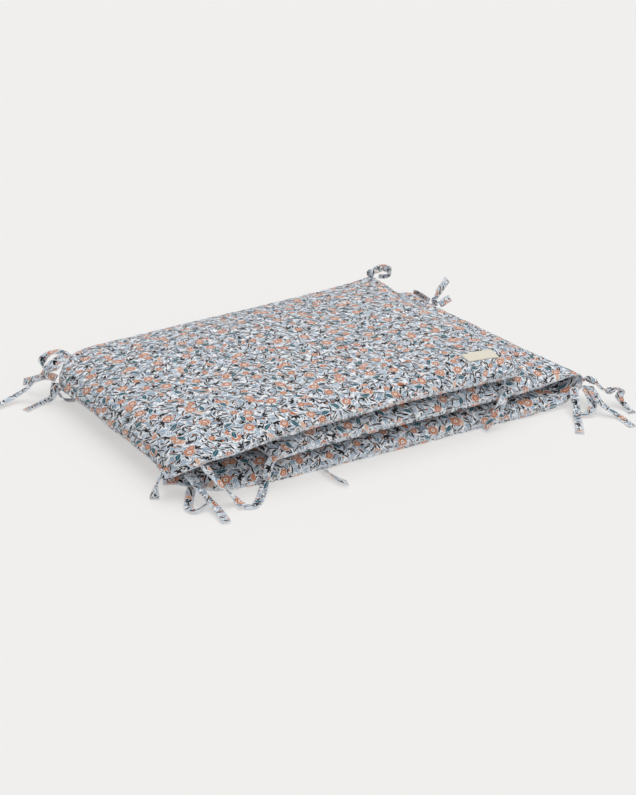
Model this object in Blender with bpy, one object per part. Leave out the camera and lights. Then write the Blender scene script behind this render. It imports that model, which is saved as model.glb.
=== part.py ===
"""A padded crib bumper, folded in three and lying on its side, with its tie straps and sewn-on label.

Metres, +Z up. +X runs along the strip towards its second fold, +Y from the front long edge to the back one.
The origin is the middle of the flat underside of the bottom layer.
"""
import math

import bmesh
import bpy
import numpy as np
from mathutils import Vector
from mathutils.bvhtree import BVHTree

# ---------------------------------------------------------------- driving dimensions
PAD = 0.0244                 # full thickness of one padded layer
HEM = 0.0022                 # thickness of the sewn edge
EDGE_REACH = 0.055            # the padding thins towards an open end over this length
EDGE_POWER, EDGE_ROUND = 3.4, 0.6   # how full the padding stays towards its seams
NOSE_POWER, NOSE_ROUND = 10.0, 0.5  # the same along the front, where each layer stands out like a nose
NOSE_LEAN = 8.0              # and how late its padding turns down towards the front seam
NOSE_MIDDLE, NOSE_REACH = 0.030, 0.27  # the nose reaches this far to each side of this place
NOSE_FADE = 0.08             # and fades over this length
FOLD_BEND = 0.15             # the rise per run of the path above which it counts as a fold
RING_SPACING = 0.0155        # distance between sections along a flat panel
FOLD_SPACING = 0.0065        # and round a fold
RING_HALF = 14               # faces across each side of the strip

STRAP_WIDTH = 0.0115
STRAP_THICK = 0.0013
STRAP_STEP = 0.0075          # distance between sections along a strap
WRAP_WALL = 0.0016           # wall of the band round a knot
WRAP_HOLE = 0.0021           # half of its opening through the strap's thickness
WRAP_SIDES = 12
WRAP_EASE = 0.0010            # between the strap's edge and the band
WRAP_RIM = 0.6               # the band's wall at its two rims, as a share of WRAP_WALL
TOUCH_GAP = 0.0004           # between a strap and the surface under it
UP = Vector((0.0, 0.0, 1.0))

LABEL_LONG, LABEL_SHORT, LABEL_THICK = 0.051, 0.020, 0.0008
LABEL_PLACE = (0.1630, -0.1665, 0.0)
LABEL_TURN = math.radians(-2)
LABEL_ABOVE = 0.2            # the label is dropped onto the padding from this height

# ---------------------------------------------------------------- the folded strip's sections
# x, z: middle of the padding; out, inn: padding above and below it (1 = half of PAD)
# lean: how late the padding's middle turns towards its two seams (higher is later)
# front_*: where the front seam lies, back_*: where the back seam lies
SECTION_COLUMNS = ("x", "z", "out", "inn", "lean", "front_x", "front_y", "front_z", "back_x", "back_y", "back_z")
SECTIONS = (
    # top layer, from its open end towards the tall fold
    (0.2385, 0.0612, 1.02, 0.85, 1.9, 0.199, -0.203, 0.0565, 0.259, 0.222, 0.0625),
    (0.178, 0.0690, 1.00, 0.92, 2.1, 0.150, -0.205, 0.0605, 0.196, 0.210, 0.0620),
    (0.050, 0.0709, 1.00, 0.86, 2.0, 0.046, -0.204, 0.0645, 0.056, 0.203, 0.0610),
    (-0.080, 0.0687, 1.00, 0.84, 2.0, -0.080, -0.201, 0.0635, -0.080, 0.200, 0.0605),
    (-0.180, 0.0638, 0.98, 0.84, 3.0, -0.178, -0.199, 0.0592, -0.180, 0.198, 0.0590),
    (-0.238, 0.0587, 0.96, 0.90, 4.0, -0.236, -0.198, 0.0525, -0.235, 0.197, 0.0585),
    # the tall fold: down its outer face, with the corners pushed out where the ties pull
    (-0.268, 0.0530, 0.98, 0.80, 4.5, -0.266, -0.194, 0.0500, -0.263, 0.192, 0.0570),
    (-0.285, 0.0445, 0.98, 0.62, 4.5, -0.285, -0.187, 0.0425, -0.284, 0.183, 0.0500),
    (-0.2905, 0.0350, 0.98, 0.50, 5.0, -0.298, -0.173, 0.0315, -0.297, 0.172, 0.0365),
    (-0.2850, 0.0250, 0.98, 0.50, 5.0, -0.311, -0.157, 0.0165, -0.296, 0.173, 0.0200),
    (-0.2670, 0.0178, 0.98, 0.70, 5.0, -0.290, -0.149, 0.0065, -0.280, 0.179, 0.0100),
    # bottom layer
    (-0.240, 0.0135, 1.03, 1.00, 3.0, -0.252, -0.187, 0.0045, -0.250, 0.187, 0.0070),
    (-0.120, 0.0130, 1.20, 1.00, 2.0, -0.120, -0.203, 0.0055, -0.120, 0.199, 0.0070),
    (0.020, 0.0130, 1.20, 1.00, 2.0, 0.020, -0.211, 0.0055, 0.020, 0.202, 0.0070),
    (0.150, 0.0130, 1.20, 1.00, 2.0, 0.150, -0.217, 0.0055, 0.150, 0.199, 0.0070),
    (0.235, 0.0125, 1.08, 0.92, 2.5, 0.236, -0.223, 0.0060, 0.238, 0.193, 0.0085),
    # the low fold
    (0.270, 0.0130, 0.92, 0.72, 3.0, 0.276, -0.222, 0.0090, 0.277, 0.190, 0.0130),
    (0.2845, 0.0175, 0.86, 0.58, 3.0, 0.306, -0.213, 0.0170, 0.304, 0.190, 0.0205),
    (0.290, 0.0260, 0.84, 0.55, 3.0, 0.317, -0.204, 0.0275, 0.318, 0.191, 0.0290),
    (0.2845, 0.0345, 0.84, 0.58, 3.0, 0.300, -0.205, 0.0335, 0.302, 0.191, 0.0355),
    (0.268, 0.0390, 0.90, 0.72, 2.5, 0.272, -0.207, 0.0345, 0.274, 0.192, 0.0360),
    # middle layer, back towards its open end inside the tall fold
    (0.225, 0.0406, 0.90, 0.88, 2.0, 0.226, -0.209, 0.0340, 0.228, 0.195, 0.0345),
    (0.120, 0.0430, 1.05, 1.08, 2.0, 0.120, -0.209, 0.0362, 0.120, 0.199, 0.0335),
    (-0.020, 0.0428, 1.06, 1.08, 2.0, -0.020, -0.206, 0.0372, -0.020, 0.200, 0.0330),
    (-0.130, 0.0412, 0.96, 0.98, 2.0, -0.128, -0.202, 0.0352, -0.132, 0.198, 0.0315),
    (-0.188, 0.0375, 0.82, 0.80, 2.0, -0.180, -0.199, 0.0300, -0.194, 0.197, 0.0290),
)

# ---------------------------------------------------------------- the straps' routes
# turn is the strap's turn about its own line in degrees: 0 lies flat, 90 stands on edge.
# wide is the share of STRAP_WIDTH, less than 1 where a knot gathers it.
STRAP_COLUMNS = ("x", "y", "z", "turn", "wide")
STRAPS = {
    "tie_tall_back_loop": (
        (-0.276, 0.188, 0.0557, 30, 1), (-0.278, 0.192, 0.0590, 15, 1), (-0.281, 0.204, 0.0590, 15, 1),
        (-0.287, 0.215, 0.0565, 15, 1), (-0.296, 0.219, 0.0520, 25, 1), (-0.303, 0.218, 0.0460, 40, 1),
        (-0.304, 0.214, 0.0400, 50, 1), (-0.302, 0.207, 0.0350, 40, 1), (-0.292, 0.210, 0.0310, 20, 1),
        (-0.282, 0.220, 0.0300, 10, 1), (-0.276, 0.228, 0.0310, 10, 1)),
    "tie_tall_back_wide": (
        (-0.304, 0.169, 0.0370, 50, 1), (-0.306, 0.182, 0.0360, 50, 1), (-0.309, 0.197, 0.0320, 50, 1),
        (-0.314, 0.209, 0.0260, 52, 1), (-0.319, 0.223, 0.0190, 52, 1), (-0.325, 0.236, 0.0130, 52, 1)),
    "tie_tall_back_long": (
        (-0.285, 0.181, 0.0600, 55, 1), (-0.293, 0.180, 0.0590, 55, 1), (-0.301, 0.179, 0.0565, 50, 1),
        (-0.309, 0.180, 0.0520, 40, 1), (-0.316, 0.184, 0.0440, 25, 1), (-0.324, 0.193, 0.0310, 15, 1),
        (-0.333, 0.201, 0.0190, 10, 1), (-0.347, 0.206, 0.0100, 5, 1), (-0.362, 0.204, 0.0060, 0, 1),
        (-0.379, 0.199, 0.0050, 0, 1)),
    "tie_tall_back_low": (
        (-0.304, 0.174, 0.0290, 60, 1), (-0.306, 0.173, 0.0220, 60, 1), (-0.308, 0.173, 0.0140, 50, 1),
        (-0.312, 0.175, 0.0070, 35, 1), (-0.319, 0.179, 0.0028, 10, 1), (-0.330, 0.177, 0.0014, 0, 1),
        (-0.352, 0.168, 0.0014, 0, 1)),
    "tie_tall_back_tuck": (
        (-0.298, 0.176, 0.0190, 40, 0.8), (-0.299, 0.175, 0.0130, 60, 0.8), (-0.297, 0.173, 0.0068, 40, 1),
        (-0.293, 0.170, 0.0030, 15, 1), (-0.288, 0.166, 0.0018, 0, 1), (-0.281, 0.163, 0.0018, 0, 1)),
    "tie_tall_front_ear": (
        (-0.308, -0.163, 0.0310, 0, 0.5), (-0.314, -0.159, 0.0279, 0, 0.6), (-0.318, -0.157, 0.0226, 0, 1),
        (-0.321, -0.156, 0.0129, 0, 1), (-0.324, -0.157, 0.0055, 0, 1), (-0.327, -0.161, 0.0016, 0, 1)),
    "tie_tall_front_curl": (
        (-0.270, -0.171, 0.0064, 20, 1), (-0.275, -0.175, 0.0125, 20, 1), (-0.285, -0.179, 0.0120, 10, 1),
        (-0.292, -0.186, 0.0080, 5, 1), (-0.298, -0.194, 0.0040, 0, 1), (-0.304, -0.205, 0.0022, 0, 1),
        (-0.302, -0.215, 0.0016, 10, 1), (-0.291, -0.214, 0.0030, 30, 1), (-0.281, -0.209, 0.0040, 40, 1)),
    "tie_tall_front_wide": (
        (-0.290, -0.171, 0.0342, -15, 1), (-0.287, -0.172, 0.0300, -15, 1),
        (-0.286, -0.182, 0.0270, -10, 1), (-0.286, -0.193, 0.0229, -5, 1), (-0.285, -0.206, 0.0178, 0, 1),
        (-0.282, -0.212, 0.0113, 0, 1), (-0.280, -0.222, 0.0065, 0, 1), (-0.281, -0.240, 0.0046, 0, 1),
        (-0.284, -0.260, 0.0023, 0, 1)),
    "tie_middle_front": (
        (-0.179, -0.198, 0.0345, 10, 1), (-0.186, -0.200, 0.0315, 10, 1), (-0.192, -0.203, 0.0250, 5, 1),
        (-0.196, -0.205, 0.0170, 0, 1), (-0.200, -0.208, 0.0100, 0, 1), (-0.206, -0.214, 0.0050, 0, 1),
        (-0.216, -0.225, 0.0020, 0, 1), (-0.227, -0.236, 0.0014, 0, 1), (-0.237, -0.242, 0.0014, 0, 1),
        (-0.247, -0.237, 0.0014, 0, 1)),
    "tie_tall_front_right": (
        (-0.274, -0.191, 0.0445, 10, 1), (-0.274, -0.202, 0.0403, 5, 1), (-0.269, -0.211, 0.0322, 0, 1),
        (-0.264, -0.217, 0.0240, 0, 1), (-0.257, -0.219, 0.0152, 0, 1), (-0.251, -0.223, 0.0073, 0, 1),
        (-0.249, -0.228, 0.0039, 0, 1), (-0.249, -0.239, 0.0044, 0, 1)),
    "tie_under_front": (
        (-0.114, -0.205, 0.0030, 10, 1), (-0.115, -0.218, 0.0033, 40, 1), (-0.117, -0.234, 0.0044, 60, 1),
        (-0.115, -0.247, 0.0042, 60, 1), (-0.112, -0.257, 0.0042, 60, 1)),
    "tie_top_front": (
        (0.171, -0.210, 0.0590, 80, 1), (0.170, -0.212, 0.0525, 80, 1), (0.168, -0.215, 0.0420, 70, 1),
        (0.161, -0.218, 0.0300, 30, 1), (0.148, -0.222, 0.0190, 10, 1), (0.137, -0.224, 0.0090, 0, 1),
        (0.128, -0.225, 0.0030, 0, 1)),
    "tie_top_back_loop": (
        (0.249, 0.217, 0.0695, -50, 0.4), (0.258, 0.219, 0.0710, -50, 0.6), (0.269, 0.224, 0.0714, -50, 1),
        (0.286, 0.229, 0.0707, -50, 1), (0.291, 0.220, 0.0690, -60, 1), (0.289, 0.212, 0.0660, -80, 1),
        (0.277, 0.209, 0.0640, -60, 1), (0.267, 0.214, 0.0640, -50, 1)),
    "tie_low_front_drop": (
        (0.304, -0.214, 0.0182, 5, 1), (0.305, -0.219, 0.0220, 5, 1), (0.300, -0.233, 0.0210, 0, 1),
        (0.294, -0.247, 0.0170, 0, 1), (0.290, -0.256, 0.0110, 0, 1), (0.281, -0.262, 0.0060, 0, 1),
        (0.272, -0.260, 0.0034, 0, 1), (0.268, -0.252, 0.0024, 0, 1)),
    "tie_low_front_bow": (
        (0.313, -0.208, 0.0240, 20, 0.7), (0.314, -0.217, 0.0310, 20, 0.7),
        (0.318, -0.230, 0.0280, 10, 0.7), (0.321, -0.242, 0.0220, 0, 0.65), (0.327, -0.248, 0.0200, 0, 0.4),
        (0.334, -0.248, 0.0205, 0, 0.5), (0.340, -0.249, 0.0210, 0, 1), (0.343, -0.255, 0.0180, 0, 1),
        (0.336, -0.259, 0.0130, 0, 1), (0.336, -0.269, 0.0060, 0, 1), (0.336, -0.277, 0.0024, 0, 1),
        (0.332, -0.290, 0.0012, 0, 1)),
    "tie_low_front_long": (
        (0.308, -0.229, 0.0248, 10, 1), (0.301, -0.247, 0.0210, 0, 1), (0.297, -0.262, 0.0158, 0, 1),
        (0.301, -0.274, 0.0093, 0, 1), (0.307, -0.286, 0.0037, 0, 1), (0.306, -0.302, 0.0014, 0, 1),
        (0.301, -0.322, 0.0012, 0, 1)),
    "tie_low_front_down": (
        (0.291, -0.213, 0.0169, 5, 0.45), (0.291, -0.216, 0.0220, 5, 1), (0.280, -0.230, 0.0184, 0, 1),
        (0.271, -0.243, 0.0121, 0, 1), (0.263, -0.255, 0.0064, 0, 1), (0.254, -0.267, 0.0029, 0, 1),
        (0.242, -0.283, 0.0020, 0, 1), (0.228, -0.300, 0.0014, 0, 1)),
    "tie_low_back_run": (
        (0.320, 0.192, 0.0291, -85, 1), (0.325, 0.196, 0.0300, -85, 1), (0.323, 0.182, 0.0320, -85, 1),
        (0.319, 0.168, 0.0335, -85, 1), (0.315, 0.155, 0.0350, -80, 1), (0.313, 0.142, 0.0355, -60, 0.8)),
    "tie_low_back_out": (
        (0.321, 0.125, 0.0330, -60, 0.8), (0.327, 0.126, 0.0345, -60, 1), (0.336, 0.129, 0.0360, -60, 1),
        (0.345, 0.130, 0.0380, -60, 1)),
    "tie_low_back_up": (
        (0.307, 0.127, 0.0341, -60, 0.5), (0.311, 0.126, 0.0360, -60, 0.5),
        (0.318, 0.133, 0.0400, -60, 0.6), (0.331, 0.142, 0.0470, -60, 1), (0.344, 0.148, 0.0530, -60, 1),
        (0.356, 0.153, 0.0600, -60, 1)),
    "tie_middle_back": (
        (-0.190, 0.198, 0.0290, 20, 1), (-0.190, 0.203, 0.0290, 20, 1), (-0.192, 0.211, 0.0240, 10, 1),
        (-0.197, 0.221, 0.0130, 5, 1), (-0.203, 0.231, 0.0040, 0, 1), (-0.209, 0.243, 0.0014, 0, 1),
        (-0.214, 0.256, 0.0012, 0, 1)),
}

# The bands of the knots: the strap each one goes round, the first of the strap's sections it covers, and how many
WRAP_COLUMNS = ("strap", "first", "count")
WRAPS = {
    "knot_top_back": ("tie_top_back_loop", 0, 2),
    "knot_low_back": ("tie_low_back_up", 1, 2),
    "knot_low_front": ("tie_low_front_bow", 7, 2),
    "knot_low_corner": ("tie_low_front_bow", 2, 2),
    "knot_tall_front": ("tie_tall_front_ear", 0, 2),
}

# ---------------------------------------------------------------- colours
PRINT_COLOR = (0.62, 0.66, 0.70, 1.0)
LABEL_COLOR = (0.86, 0.84, 0.76, 1.0)
CLOTH_ROUGHNESS = 0.9


def clear_scene():
    for obj in list(bpy.data.objects):
        bpy.data.objects.remove(obj, do_unlink=True)


def make_collection(name):
    collection = bpy.data.collections.new(name)
    bpy.context.scene.collection.children.link(collection)
    return collection


def make_material(name, color):
    material = bpy.data.materials.new(name)
    material.use_nodes = True
    shader = material.node_tree.nodes["Principled BSDF"]
    shader.inputs["Base Color"].default_value = color
    shader.inputs["Roughness"].default_value = CLOTH_ROUGHNESS
    shader.inputs["Metallic"].default_value = 0.0
    return material


def add_object(name, mesh, material, collection):
    obj = bpy.data.objects.new(name, mesh)
    mesh.materials.append(material)
    collection.objects.link(obj)
    return obj


def smooth_rows(rows, spacing):
    """Catmull-Rom through the rows, by chord length; spacing(row) gives the step there."""
    rows = np.array(rows, float)
    chord = np.linalg.norm(np.diff(rows[:, :3], axis=0), axis=1)
    knots = np.concatenate(([0.0], np.cumsum(chord)))
    slopes = np.empty_like(rows)
    slopes[1:-1] = (rows[2:] - rows[:-2]) / (knots[2:] - knots[:-2])[:, None]
    slopes[0] = (rows[1] - rows[0]) / chord[0]
    slopes[-1] = (rows[-1] - rows[-2]) / chord[-1]
    points = []
    for i, length in enumerate(chord):
        steps = max(1, math.ceil(length / spacing(rows[i], rows[i + 1])))
        for k in range(steps):
            t = k / steps
            points.append((2 * t**3 - 3 * t**2 + 1) * rows[i] + (t**3 - 2 * t**2 + t) * length * slopes[i]
                          + (3 * t**2 - 2 * t**3) * rows[i + 1] + (t**3 - t**2) * length * slopes[i + 1])
    points.append(rows[-1])
    return np.array(points)


def strip_sections():
    """The strip's sections along its folded path, each a dictionary of the table's columns."""
    # the path is measured on x and z, so y of the middle (0) goes between them
    rows = [(row[0], 0.0, row[1]) + row[2:] for row in SECTIONS]

    def spacing(start, end):
        bend = abs(end[2] - start[2]) / max(abs(end[0] - start[0]), 1e-6)
        return FOLD_SPACING if bend > FOLD_BEND else RING_SPACING

    points = smooth_rows(rows, spacing)
    return [dict(zip(SECTION_COLUMNS, np.delete(point, 1))) for point in points]


def fullness(share, nose=0.0):
    """How full the padding is, from 1 in the middle to 0 at a seam, where share is 1."""
    plain = max(0.0, 1.0 - abs(share) ** EDGE_POWER) ** EDGE_ROUND
    full = max(0.0, 1.0 - abs(share) ** NOSE_POWER) ** NOSE_ROUND
    return plain + (full - plain) * nose


def strip_rings(sections):
    """One closed ring of points round the strip at each section: over its outer face, back under its inner face."""
    middle = np.array([(s["x"], s["z"]) for s in sections])
    along = np.concatenate(([0.0], np.cumsum(np.linalg.norm(np.diff(middle, axis=0), axis=1))))
    tangent = np.gradient(middle, along, axis=0)
    tangent /= np.linalg.norm(tangent, axis=1)[:, None]
    shares = [math.sin(math.pi / 2 * (2 * k / RING_HALF - 1)) for k in range(RING_HALF + 1)]
    rings = []
    for section, length, (tx, tz) in zip(sections, along, tangent):
        outward = Vector((tz, 0.0, -tx))
        to_end = min(length, along[-1] - length)
        end_share = 1.0 - to_end / EDGE_REACH
        end_fill = fullness(end_share) if end_share > 0 else 1.0
        centre = Vector((section["x"], 0.0, section["z"]))
        seams = {-1: Vector([section["front_" + c] for c in "xyz"]), 1: Vector([section["back_" + c] for c in "xyz"])}
        front_nose = min(1.0, max(0.0, (NOSE_REACH - abs(section["x"] - NOSE_MIDDLE)) / NOSE_FADE))
        outer, inner = [], []
        for share in shares:
            seam = seams[1 if share > 0 else -1]
            nose = front_nose if share < 0 else 0.0
            lean = section["lean"] + (NOSE_LEAN - section["lean"]) * nose
            centre.y = (seams[1].y + seams[-1].y) / 2
            spine = centre + (seam - centre) * abs(share) ** lean
            spine.y = centre.y + (seam.y - centre.y) * abs(share)
            half = (PAD / 2) * fullness(share, nose) * end_fill
            above = outward * (half * section["out"] + HEM / 2)
            below = outward * (half * section["inn"] + HEM / 2)
            outer.append(spine + above)
            inner.append(spine - below)
        ring = outer + inner[::-1]
        for point in ring:
            point.z = max(point.z, 0.0)
        rings.append(ring)
    return rings


def mesh_from_rings(name, rings):
    """A closed skin over rings of equal count, with flat caps."""
    mesh = bpy.data.meshes.new(name)
    bm = bmesh.new()
    loops = [[bm.verts.new(point) for point in ring] for ring in rings]
    for one, two in zip(loops, loops[1:]):
        for k in range(len(one)):
            n = (k + 1) % len(one)
            bm.faces.new((one[k], one[n], two[n], two[k]))
    bm.faces.new(loops[0][::-1])
    bm.faces.new(loops[-1])
    bmesh.ops.recalc_face_normals(bm, faces=bm.faces)
    bmesh.ops.triangulate(bm, faces=[f for f in bm.faces if len(f.verts) > 4], ngon_method="BEAUTY")
    bm.to_mesh(mesh)
    bm.free()
    mesh.shade_smooth()
    return mesh


def strap_frames(route):
    """Centre, direction across the flat, direction through the thickness and half width at even steps."""
    points = smooth_rows(route, lambda start, end: STRAP_STEP)
    places = [Vector(p[:3]) for p in points]
    frames = []
    for k, place in enumerate(places):
        row = dict(zip(STRAP_COLUMNS, points[k]))
        tangent = (places[min(k + 1, len(places) - 1)] - places[max(k - 1, 0)]).normalized()
        flat = tangent.cross(UP).normalized()
        lift = flat.cross(tangent).normalized()
        turn = math.radians(row["turn"])
        across = flat * math.cos(turn) + lift * math.sin(turn)
        through = lift * math.cos(turn) - flat * math.sin(turn)
        frames.append((place, across, through, row["wide"] * STRAP_WIDTH / 2))
    return frames


def strap_rings(route):
    """Flat sections along a smooth curve through the route."""
    rings = []
    for place, across, through, half in strap_frames(route):
        side, wall = across * half, through * (STRAP_THICK / 2)
        ring = [place + side + wall, place - side + wall, place - side - wall, place + side - wall]
        rings.append([Vector((p.x, p.y, max(p.z, TOUCH_GAP / 2))) for p in ring])
    return rings


def wrap_rings(route, first, count):
    """Outer and inner ovals round some of the strap's sections, with the band's two rims drawn in."""
    outer, inner = [], []
    for k, (place, across, through, half) in enumerate(strap_frames(route)[first:first + count + 1]):
        swell = WRAP_WALL * (WRAP_RIM if k in (0, count) else 1.0)
        snug = half + WRAP_EASE
        for ring, wide, tall in ((inner, snug, WRAP_HOLE), (outer, snug + swell, WRAP_HOLE + swell)):
            angles = [2 * math.pi * n / WRAP_SIDES for n in range(WRAP_SIDES)]
            ring.append([place + across * (wide * math.cos(a)) + through * (tall * math.sin(a)) for a in angles])
    return outer, inner


def make_wrap(name, wrap, material, collection):
    outer, inner = wrap_rings(STRAPS[wrap["strap"]], wrap["first"], wrap["count"])
    mesh = bpy.data.meshes.new(name)
    bm = bmesh.new()
    loops = [[bm.verts.new(point) for point in ring] for ring in outer + inner[::-1]]
    for one, two in zip(loops, loops[1:] + loops[:1]):
        for k in range(WRAP_SIDES):
            n = (k + 1) % WRAP_SIDES
            bm.faces.new((one[k], one[n], two[n], two[k]))
    bmesh.ops.recalc_face_normals(bm, faces=bm.faces)
    bm.to_mesh(mesh)
    bm.free()
    return add_object(name, mesh, material, collection)


def make_label(strip, material, collection):
    """A thin woven rectangle that follows the padded surface under it."""
    bm = bmesh.new()
    bm.from_mesh(strip.data)
    tree = BVHTree.FromBMesh(bm)
    long_steps, short_steps = 10, 4
    turned = Vector((math.cos(LABEL_TURN), math.sin(LABEL_TURN), 0))
    across = UP.cross(turned)
    centre = Vector(LABEL_PLACE) + UP * LABEL_ABOVE
    rows = []
    for i in range(long_steps + 1):
        for j in range(short_steps + 1):
            at = (centre + turned * (i / long_steps - 0.5) * LABEL_LONG
                  + across * (j / short_steps - 0.5) * LABEL_SHORT)
            rows.append(tree.ray_cast(at, -UP)[0])
    bm.free()
    mesh = bpy.data.meshes.new("label")
    bm = bmesh.new()
    lift = 2 * TOUCH_GAP
    low = [bm.verts.new(p + UP * lift) for p in rows]
    high = [bm.verts.new(p + UP * (lift + LABEL_THICK)) for p in rows]
    count = short_steps + 1
    for i in range(long_steps):
        for j in range(short_steps):
            a, b = i * count + j, (i + 1) * count + j
            bm.faces.new((high[a], high[b], high[b + 1], high[a + 1]))
            bm.faces.new((low[a + 1], low[b + 1], low[b], low[a]))
    border = ([i * count for i in range(long_steps)] + [long_steps * count + j for j in range(short_steps)]
              + [i * count + short_steps for i in range(long_steps, 0, -1)] + list(range(short_steps, 0, -1)))
    for a, b in zip(border, border[1:] + border[:1]):
        bm.faces.new((low[a], low[b], high[b], high[a]))
    bmesh.ops.recalc_face_normals(bm, faces=bm.faces)
    bm.to_mesh(mesh)
    bm.free()
    return add_object("label", mesh, material, collection)


def main():
    clear_scene()
    collection = make_collection("crib_bumper")
    print_cloth = make_material("printed_cotton", PRINT_COLOR)
    label_cloth = make_material("label_tape", LABEL_COLOR)
    strip_mesh = mesh_from_rings("padded_strip", strip_rings(strip_sections()))
    strip = add_object("padded_strip", strip_mesh, print_cloth, collection)
    for name, route in STRAPS.items():
        add_object(name, mesh_from_rings(name, strap_rings(route)), print_cloth, collection)
    for name, row in WRAPS.items():
        make_wrap(name, dict(zip(WRAP_COLUMNS, row)), print_cloth, collection)
    make_label(strip, label_cloth, collection)


main()
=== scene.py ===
"""A folded crib bumper: a padded strip of printed cotton in three layers, its sewn ties and its label."""
import math

import bmesh
import bpy
import numpy as np
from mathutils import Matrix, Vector, noise
from mathutils.bvhtree import BVHTree


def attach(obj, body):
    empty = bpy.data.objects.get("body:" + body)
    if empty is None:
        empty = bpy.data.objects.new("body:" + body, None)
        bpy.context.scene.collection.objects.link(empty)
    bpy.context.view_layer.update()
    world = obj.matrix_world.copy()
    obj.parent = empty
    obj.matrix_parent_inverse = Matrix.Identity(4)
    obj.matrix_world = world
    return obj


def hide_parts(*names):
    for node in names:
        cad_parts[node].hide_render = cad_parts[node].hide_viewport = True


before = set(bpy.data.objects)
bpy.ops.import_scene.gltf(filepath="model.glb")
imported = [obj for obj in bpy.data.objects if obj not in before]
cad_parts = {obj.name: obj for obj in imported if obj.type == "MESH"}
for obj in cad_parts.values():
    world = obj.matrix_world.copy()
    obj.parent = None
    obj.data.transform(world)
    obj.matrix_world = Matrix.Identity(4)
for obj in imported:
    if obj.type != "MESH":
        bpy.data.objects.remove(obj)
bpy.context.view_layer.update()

# ---------------------------------------------------------------- sizes, in metres
UP = Vector((0, 0, 1))
PAD = 0.0244                 # full thickness of one padded layer
HEM = 0.0022                 # thickness of the sewn edge
EDGE_REACH = 0.055           # the padding thins towards an open end over this length
EDGE_POWER, EDGE_ROUND = 3.4, 0.6      # how full the padding stays towards its seams
NOSE_POWER, NOSE_ROUND = 10.0, 0.5     # the same along the front, where each layer stands out like a nose
NOSE_LEAN = 8.0              # and how late its padding turns down towards the front seam
NOSE_MIDDLE, NOSE_REACH = 0.030, 0.27  # the nose reaches this far to each side of this place
NOSE_FADE = 0.08             # and fades over this length
FOLD_BEND = 0.15             # the rise per run of the path above which it counts as a fold
PANEL_STEP, FOLD_STEP = 0.0046, 0.0030 # distance between sections along a flat panel and round a fold
ACROSS = 60                  # faces across each side of the strip
INNER_PRINT = 0.6            # the inner face is cut this far over on the print
STRAP_WIDTH = 0.0115
STRAP_THICK = 0.0013
STRAP_STEP = 0.0022          # distance between sections along a tie
FLOOR_CLEAR = 0.0002         # a tie that lies on the floor stays this far above it
WRAP_WALL = 0.0016           # wall of the band round a knot
WRAP_RIM, WRAP_CROWN, WRAP_ROUND = 0.45, 0.95, 0.6   # share at its rims, added in its middle, how fully
WRAP_HOLE = 0.0021           # half of its opening through the tie's thickness
WRAP_EASE = 0.0010           # between the tie's edge and the band
WRAP_SIDES, WRAP_ROWS = 36, 12
WRAP_STEP = 0.0075           # distance between the tie's sections that a knot counts
KNOT_CREASE = 0.00055        # height of the creases in a knot
KNOT_PLEATS, KNOT_SWAY = 2.5, 0.8      # how many there are, and how far they wander
LABEL_LONG, LABEL_SHORT, LABEL_THICK = 0.051, 0.020, 0.0008
LABEL_PLACE = (0.1630, -0.1665, 0.0)
LABEL_TURN = math.radians(-2)
LABEL_ABOVE = 0.2            # the label is dropped onto the padding from this height
LABEL_GAP = 0.0005           # and stays this far above it
LABEL_SWELL = 0.0005         # its middle stands this much higher than its sewn ends
LABEL_RIM, LABEL_ROUND = 0.45, 14      # its thickness at its long edges as a share, and how soon it is full
LABEL_STEPS_LONG, LABEL_STEPS_SHORT = 44, 18

# A tie's section: places from edge to edge as shares of its half width, and the thickness there as a share
TIE_PROFILE = (
    (-1.0, 0.30), (-0.86, 0.95), (-0.55, 0.80), (-0.2, 0.70),
    (0.2, 0.70), (0.55, 0.80), (0.86, 0.95), (1.0, 0.30),
)
TIE_HEM, HEM_SWELL = 0.007, 1.25       # length of the hem at a free end, and how much thicker it is
# How a tie changes along its length: by how much, over what length, and where in the noise it is read
TIE_WAVE = (0.0004, 0.012, 3.3, 0.5)   # one edge rises and the other dips
TIE_CUP = (0.0005, 0.03, 5.7, 4.5)     # the middle bulges to one face
TIE_UNEVEN = (0.05, 0.015, 1.9, 9.1)   # the width, as a share of itself
# Where the first tie and knot are cut from the print, and how far on the next one is
TIE_PRINT, TIE_PRINT_NEXT = 0.9, (0.113, 0.037)
BACK_PRINT = 0.021           # a tie's back face is cut this far from its front one
KNOT_PRINT, KNOT_PRINT_NEXT = 1.4, 0.31
KNOT_LONG, KNOT_ROUND = 0.012, 0.030   # the cloth of a knot, along the tie and round it
KNOT_FROM_EDGE = 0.003       # how far from its sewn edge that cloth shows

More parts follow.
